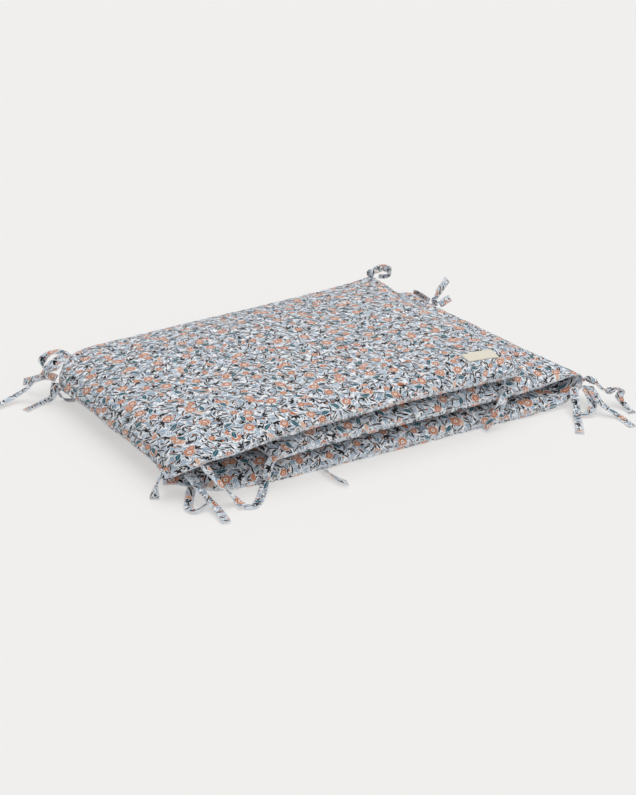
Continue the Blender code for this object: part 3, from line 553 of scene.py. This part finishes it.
# ---------------------------------------------------------------- the folded strip's shape
def smooth_rows(rows, spacing):
    """Catmull-Rom through the rows, by chord length; spacing(row, next) gives the step there."""
    rows = np.array(rows, float)
    chord = np.linalg.norm(np.diff(rows[:, :3], axis=0), axis=1)
    knots = np.concatenate(([0.0], np.cumsum(chord)))
    slopes = np.empty_like(rows)
    slopes[1:-1] = (rows[2:] - rows[:-2]) / (knots[2:] - knots[:-2])[:, None]
    slopes[0] = (rows[1] - rows[0]) / chord[0]
    slopes[-1] = (rows[-1] - rows[-2]) / chord[-1]
    points = []
    for i, length in enumerate(chord):
        steps = max(1, math.ceil(length / spacing(rows[i], rows[i + 1])))
        for k in range(steps):
            t = k / steps
            points.append((2 * t**3 - 3 * t**2 + 1) * rows[i]
                          + (t**3 - 2 * t**2 + t) * length * slopes[i]
                          + (3 * t**2 - 2 * t**3) * rows[i + 1]
                          + (t**3 - t**2) * length * slopes[i + 1])
    points.append(rows[-1])
    return np.array(points)


def strip_sections():
    rows = [(row[0], 0.0, row[1]) + row[2:] for row in SECTIONS]

    def spacing(start, end):
        bend = abs(end[2] - start[2]) / max(abs(end[0] - start[0]), 1e-6)
        return FOLD_STEP if bend > FOLD_BEND else PANEL_STEP

    points = smooth_rows(rows, spacing)
    return [dict(zip(SECTION_COLUMNS, np.delete(point, 1))) for point in points]


def fullness(share, nose=0.0):
    plain = max(0.0, 1.0 - abs(share) ** EDGE_POWER) ** EDGE_ROUND
    full = max(0.0, 1.0 - abs(share) ** NOSE_POWER) ** NOSE_ROUND
    return plain + (full - plain) * nose


def strip_rings(sections):
    """For each section, the points over the outer face and back under the inner one, and its place along the
    cloth."""
    middle = np.array([(s["x"], s["z"]) for s in sections])
    along = np.concatenate(([0.0], np.cumsum(np.linalg.norm(np.diff(middle, axis=0), axis=1))))
    tangent = np.gradient(middle, along, axis=0)
    tangent /= np.linalg.norm(tangent, axis=1)[:, None]
    shares = [math.sin(math.pi / 2 * (2 * k / ACROSS - 1)) for k in range(ACROSS + 1)]
    rings = []
    for section, length, (tx, tz) in zip(sections, along, tangent):
        outward = Vector((tz, 0.0, -tx))
        to_end = min(length, along[-1] - length)
        end_share = 1.0 - to_end / EDGE_REACH
        end_fill = fullness(end_share) if end_share > 0 else 1.0
        centre = Vector((section["x"], 0.0, section["z"]))
        seams = {
            -1: Vector([section["front_" + c] for c in "xyz"]),
            1: Vector([section["back_" + c] for c in "xyz"]),
        }
        centre.y = (seams[1].y + seams[-1].y) / 2
        front_nose = min(1.0, max(0.0, (NOSE_REACH - abs(section["x"] - NOSE_MIDDLE)) / NOSE_FADE))
        outer, inner = [], []
        for share in shares:
            seam = seams[1 if share > 0 else -1]
            nose = front_nose if share < 0 else 0.0
            lean = section["lean"] + (NOSE_LEAN - section["lean"]) * nose
            spine = centre + (seam - centre) * abs(share) ** lean
            spine.y = centre.y + (seam.y - centre.y) * abs(share)
            half = (PAD / 2) * fullness(share, nose) * end_fill
            outer.append(spine + outward * (half * section["out"] + HEM / 2))
            inner.append(spine - outward * (half * section["inn"] + HEM / 2))
        rings.append(outer + inner[::-1])
    return rings, along


def soften(grid, reach):
    """The grid's running mean over this many steps each way, along and across."""
    for axis in (0, 1):
        wide = np.pad(grid, [(reach, reach) if axis == a else (0, 0) for a in (0, 1)], mode="edge")
        total = np.cumsum(np.insert(wide, 0, 0.0, axis=axis), axis=axis)
        size = grid.shape[axis]
        first, last = np.arange(size), np.arange(size) + 2 * reach + 1
        grid = (np.take(total, last, axis=axis) - np.take(total, first, axis=axis)) / (2 * reach + 1)
    return grid


def creases(piece, rows, count):
    """The fine waves of the cloth where it is let out inside its own seams, as heights off the skin."""
    lift = np.zeros((rows, count))
    mesh = piece.data
    seams = [v for v in range(rows * count)
             if v % count in (0, ACROSS, ACROSS + 1, count - 1) or v // count in (0, rows - 1)]
    piece.vertex_groups.new(name="seams").add(seams, 1.0, "REPLACE")
    modifier = piece.modifiers.new("cloth", "CLOTH")
    cloth = modifier.settings
    cloth.vertex_group_mass = "seams"
    cloth.quality = 4
    cloth.mass = 0.2
    cloth.tension_stiffness = cloth.compression_stiffness = 15
    cloth.shear_stiffness = 8
    cloth.bending_stiffness = 0.3
    cloth.shrink_min = -CLOTH_EASE
    cloth.use_pressure = True
    cloth.uniform_pressure_force = 1.0
    cloth.effector_weights.gravity = 0
    modifier.collision_settings.use_collision = False
    modifier.collision_settings.use_self_collision = False
    modifier.point_cache.frame_start = 1
    modifier.point_cache.frame_end = CLOTH_FRAMES
    before, normals = np.empty(rows * count * 3), np.empty(rows * count * 3)
    mesh.vertices.foreach_get("co", before)
    mesh.vertices.foreach_get("normal", normals)
    for step in range(1, CLOTH_FRAMES + 1):
        bpy.context.scene.frame_set(step)
    blown = piece.evaluated_get(bpy.context.evaluated_depsgraph_get()).data
    after = np.empty(rows * count * 3)
    blown.vertices.foreach_get("co", after)
    rise = ((after - before) * normals).reshape(rows, count, 3).sum(axis=2)
    piece.modifiers.remove(modifier)
    piece.vertex_groups.clear()
    bpy.context.scene.frame_set(1)
    for part in (slice(0, ACROSS + 1), slice(ACROSS + 1, count)):
        fine = rise[:, part] - soften(soften(rise[:, part], CREASE_REACH), CREASE_REACH)
        lift[:, part] = CREASE_CAP * np.tanh(fine * CREASE_SHARE / CREASE_CAP)
    return lift


# ---------------------------------------------------------------- from rings of points to a piece
class Sewing:
    """A mesh being sewn from rings of points, which carry their places on the print and their sewn edges."""

    def __init__(self, rings, places, edges):
        self.mesh = bmesh.new()
        self.points = [[self.mesh.verts.new(point) for point in ring] for ring in rings]
        self.print_map = self.mesh.loops.layers.uv.new("print")
        self.edge_map = self.mesh.loops.layers.uv.new("edge")
        self.places, self.edges = places, edges

    def face(self, corners, marks):
        """A face on these (ring, point) corners, printed and edged as at these marks."""
        face = self.mesh.faces.new([self.points[i][k] for i, k in corners])
        for loop, (i, k) in zip(face.loops, marks):
            loop[self.print_map].uv = self.places[i][k]
            loop[self.edge_map].uv = self.edges[i][k]
        return face

    def piece(self, name, material):
        bmesh.ops.recalc_face_normals(self.mesh, faces=self.mesh.faces)
        mesh = bpy.data.meshes.new(name)
        self.mesh.to_mesh(mesh)
        self.mesh.free()
        mesh.shade_smooth()
        mesh.materials.append(material)
        piece = bpy.data.objects.new(name, mesh)
        bpy.context.scene.collection.objects.link(piece)
        return piece


def skin(name, rings, places, edges, material):
    """A closed skin over rings that each go from one seam over the outer face and back under the other."""
    sewing = Sewing(rings, places, edges)
    count = len(rings[0])
    half = count // 2
    for i in range(len(rings) - 1):
        for k in range(count):
            n = (k + 1) % count
            # the narrow face at a seam keeps one side's print
            m = n if (k < half) == (n < half) and n > k else k
            sewing.face(((i, k), (i, n), (i + 1, n), (i + 1, k)), ((i, k), (i, m), (i + 1, m), (i + 1, k)))
    for i in (0, len(rings) - 1):
        for k in range(half - 1):
            corners = [(i, c) for c in (k, k + 1, count - 2 - k, count - 1 - k)]
            if i == 0:
                corners.reverse()
            face = sewing.face(corners, corners)
            for loop, (_, c) in zip(face.loops, corners):
                loop[sewing.edge_map].uv = (0.0, edges[i][c][1])
    return sewing.piece(name, material)


def run_of(rings, k):
    """How far each ring's k-th point lies along the cloth from the first ring's."""
    return np.cumsum([0.0] + [(b[k] - a[k]).length for a, b in zip(rings, rings[1:])])


def run_round(points):
    """How far each point lies from the first, from point to point."""
    return np.cumsum([0.0] + [(b - a).length for a, b in zip(points, points[1:])])


def make_strip(material):
    sections = strip_sections()
    rings, along = strip_rings(sections)
    count = len(rings[0])
    outer_runs, inner_runs = run_of(rings, ACROSS // 2), run_of(rings, count - 1 - ACROSS // 2)
    places, edges = [], []
    for ring, length, outer_run, inner_run in zip(rings, along, outer_runs, inner_runs):
        out, back = run_round(ring[:ACROSS + 1]), run_round(ring[ACROSS + 1:])
        places.append([(outer_run, v) for v in out] + [(inner_run, INNER_PRINT - v) for v in back])
        edges.append([(min(v, side[-1] - v), length) for side in (out, back) for v in side])
    piece = skin("quilted_strip", rings, places, edges, material)
    settle(piece, count, edges, sections)
    return piece


def settle(piece, count, edges, sections):
    """Moves the skin in and out for its creases and its uneven filling."""
    mesh = piece.data
    mesh.update()
    waves = creases(piece, len(sections), count)
    normals = [v.normal.copy() for v in mesh.vertices]
    for i, section in enumerate(sections):
        outside = section["z"] > TOP_HEIGHT or abs(section["x"]) > FOLD_PLACE
        for k in range(count):
            vert = mesh.vertices[i * count + k]
            far, length = edges[i][k]
            place, normal = vert.co, normals[vert.index]
            held = HELD + (FRONT_FREE - HELD) * math.exp(-(far / FRONT_DEPTH)**2)
            free = 1.0 if outside and k <= ACROSS else held
            spot = Vector((place.x / SAG_WIDE, place.y / SAG_WIDE, length / SAG_ALONG))
            lift = waves[i][k] + SAG_DEPTH * noise.noise(spot) * min(1, far / SAG_EDGE)
            if normal.z > RESTING_FACING or place.z > RESTING_HEIGHT:
                vert.co = place + normal * (lift * free)
            vert.co.z = max(vert.co.z, 0.0)
    mesh.update()


# ---------------------------------------------------------------- the ties
def strap_frames(route, step):
    """Along the route: each section's place, the directions across and through the tie, and its half width."""
    points = smooth_rows(route, lambda start, end: step)
    places = [Vector(p[:3]) for p in points]
    frames = []
    for k, place in enumerate(places):
        row = dict(zip(STRAP_COLUMNS, points[k]))
        tangent = (places[min(k + 1, len(places) - 1)] - places[max(k - 1, 0)]).normalized()
        flat = tangent.cross(UP).normalized()
        lift = flat.cross(tangent).normalized()
        turn = math.radians(row["turn"])
        across = flat * math.cos(turn) + lift * math.sin(turn)
        through = lift * math.cos(turn) - flat * math.sin(turn)
        frames.append((place, across, through, row["wide"] * STRAP_WIDTH / 2))
    return frames


def uneven(kind, length, order):
    amount, size, step, start = kind
    return amount * noise.noise(Vector((length / size, order * step, start)))


def make_tie(name, route, order, material):
    """A narrow sewn tie: folded edges a little thicker than its middle, a hemmed free end, a slight twist."""
    frames = strap_frames(route, STRAP_STEP)
    lengths = run_round([section[0] for section in frames])
    rings, places, edges = [], [], []
    for (place, across, through, half), length in zip(frames, lengths):
        to_end = lengths[-1] - length
        wall = STRAP_THICK / 2 * (HEM_SWELL if to_end < TIE_HEM else 1.0)
        half = half * (1 + uneven(TIE_UNEVEN, length, order))
        wave, cup = uneven(TIE_WAVE, length, order), uneven(TIE_CUP, length, order)
        ring, spots, rims = [], [], []
        for sign, profile, shift in ((1, TIE_PROFILE, 0.0), (-1, TIE_PROFILE[::-1], BACK_PRINT)):
            for s, t in profile:
                bend = through * (cup * (1 - s * s) + wave * s)
                point = place + across * (half * s) + through * (wall * t * sign) + bend
                point.z = max(point.z, FLOOR_CLEAR)
                ring.append(point)
                spots.append((length + TIE_PRINT_NEXT[0] * order,
                              TIE_PRINT + TIE_PRINT_NEXT[1] * order + half * s + shift))
                rims.append((min(half * (1 - abs(s)), to_end), length))
        rings.append(ring)
        places.append(spots)
        edges.append(rims)
    return skin("sewn_" + name, rings, places, edges, material), float(lengths[-1])


def make_knot(name, row, order, material):
    """A band of the tie's own cloth pulled tight round it, creased along its turn."""
    frames = strap_frames(STRAPS[row["strap"]], WRAP_STEP)[row["first"]:row["first"] + row["count"] + 1]
    rings, places, edges = [], [], []

    def at(share):
        spot = share * (len(frames) - 1)
        k = min(int(spot), len(frames) - 2)
        t = spot - k
        return [a * (1 - t) + b * t for a, b in zip(frames[k], frames[k + 1])]

    outer = [(True, r / WRAP_ROWS) for r in range(WRAP_ROWS + 1)]
    inner = [(False, share) for _, share in outer[::-1]]
    for outside, share in outer + inner:
        place, across, through, half = at(share)
        swell = WRAP_WALL * (WRAP_RIM + WRAP_CROWN * math.sin(math.pi * share) ** WRAP_ROUND)
        ring = []
        for n in range(WRAP_SIDES):
            a = 2 * math.pi * n / WRAP_SIDES
            pleat = KNOT_PLEATS * share + KNOT_SWAY * math.sin(a + order)
            crease = KNOT_CREASE * math.sin(2 * math.pi * pleat)
            wall = swell + crease if outside else 0.0
            wide, tall = half + WRAP_EASE + wall, WRAP_HOLE + wall
            ring.append(place + across * (wide * math.cos(a)) + through * (tall * math.sin(a)))
        rings.append(ring)
        places.append([(share * KNOT_LONG + KNOT_PRINT_NEXT * order, KNOT_PRINT + KNOT_ROUND * n / WRAP_SIDES)
                       for n in range(WRAP_SIDES)])
        edges.append([(KNOT_FROM_EDGE, share * KNOT_LONG)] * WRAP_SIDES)
    sewing = Sewing(rings, places, edges)
    for i in range(len(rings)):
        j = (i + 1) % len(rings)
        for k in range(WRAP_SIDES):
            n = (k + 1) % WRAP_SIDES
            corners = ((i, k), (i, n), (j, n), (j, k))
            sewing.face(corners, corners)
    return sewing.piece("band_" + name, material)


# ---------------------------------------------------------------- the label
def make_label(strip, material):
    """A soft woven tape, caught down at its two ends, that follows the padding."""
    tree = BVHTree.FromObject(strip, bpy.context.evaluated_depsgraph_get())
    along = Vector((math.cos(LABEL_TURN), math.sin(LABEL_TURN), 0))
    across = UP.cross(along)
    centre = Vector(LABEL_PLACE) + UP * LABEL_ABOVE
    rings, places, edges = [], [], []
    for i in range(LABEL_STEPS_LONG + 1):
        s = i / LABEL_STEPS_LONG
        swell = LABEL_SWELL * math.sin(math.pi * s) ** 0.5
        top, low, spots, rims = [], [], [], []
        for j in range(LABEL_STEPS_SHORT + 1):
            t = j / LABEL_STEPS_SHORT
            at = centre + along * ((s - 0.5) * LABEL_LONG) + across * ((t - 0.5) * LABEL_SHORT)
            ground = tree.ray_cast(at, -UP)[0]
            full = min(1.0, min(t, 1 - t) * LABEL_ROUND) ** 0.5
            thick = LABEL_THICK * (LABEL_RIM + (1 - LABEL_RIM) * full)
            top.append(ground + UP * (LABEL_GAP + thick + swell))
            low.append(ground + UP * LABEL_GAP)
            spots.append((s * LABEL_LONG, t * LABEL_SHORT))
            rims.append((min(s, 1 - s) * LABEL_LONG, t * LABEL_SHORT))
        rings.append(top + low[::-1])
        places.append(spots + spots[::-1])
        edges.append(rims + rims[::-1])
    return skin("woven_label", rings, places, edges, material)


# ---------------------------------------------------------------- the studio
def make_studio():
    bpy.ops.mesh.primitive_plane_add(size=FLOOR_SIZE, location=FLOOR_PLACE)
    floor = bpy.context.object
    floor.name = "studio_floor"
    material = bpy.data.materials.new("studio_paper")
    material.use_nodes = True
    shader = material.node_tree.nodes["Principled BSDF"]
    shader.inputs["Base Color"].default_value = tone(FLOOR_TONE)
    shader.inputs["Emission Color"].default_value = tone(FLOOR_GLOW)
    shader.inputs["Emission Strength"].default_value = FLOOR_SHINE
    shader.inputs["Roughness"].default_value = 1.0
    shader.inputs["Specular IOR Level"].default_value = 0.0
    floor.data.materials.append(material)
    world = bpy.data.worlds.new("studio")
    bpy.context.scene.world = world
    world.use_nodes = True
    back = world.node_tree.nodes["Background"]
    back.inputs["Color"].default_value = (1.0, 1.0, 1.0, 1.0)
    back.inputs["Strength"].default_value = WORLD_GLOW
    for name, (source, strength, spread) in LAMPS.items():
        light = bpy.data.lights.new(name, "SUN")
        light.energy = strength
        light.angle = math.radians(spread)
        lamp = bpy.data.objects.new(name, light)
        lamp.rotation_mode = "QUATERNION"
        lamp.rotation_quaternion = Vector(source).to_track_quat("Z", "Y")
        bpy.context.scene.collection.objects.link(lamp)


def make_camera():
    data = bpy.data.cameras.new("camera")
    data.lens = CAMERA_LENS
    data.sensor_fit = "VERTICAL"
    data.sensor_height = CAMERA_SENSOR
    data.sensor_width = CAMERA_SENSOR
    camera = bpy.data.objects.new("camera", data)
    camera.location = CAMERA_PLACE
    camera.rotation_euler = CAMERA_TURN
    bpy.context.scene.collection.objects.link(camera)
    bpy.context.scene.camera = camera


for obj in list(bpy.context.selected_objects):
    obj.select_set(False)
bpy.context.scene.view_settings.view_transform = "Standard"
make_camera()
make_studio()
# the painted edge highlight is fainter on the strip than on the ties
strip_cloth = cotton("printed_cotton", highlight_width=0.0004, thread_at=0.0024, highlight_share=0.55)
tie_cloth = cotton("tie_cotton", highlight_width=0.0009, thread_at=0.0022, highlight_share=0.85)
strip = make_strip(strip_cloth)
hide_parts("padded_strip")
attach(strip, "root")
knots = {}
for order, (name, row) in enumerate(WRAPS.items()):
    knot = make_knot(name, dict(zip(WRAP_COLUMNS, row)), order, tie_cloth)
    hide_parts(name)
    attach(knot, "root")
    knots.setdefault(row[0], []).append(knot)
for order, (name, route) in enumerate(STRAPS.items()):
    tie, length = make_tie(name, route, order, tie_cloth)
    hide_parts(name)
    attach(tie, "root")
label = make_label(strip, plain_tape("label_tape"))
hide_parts("label")
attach(label, "root")
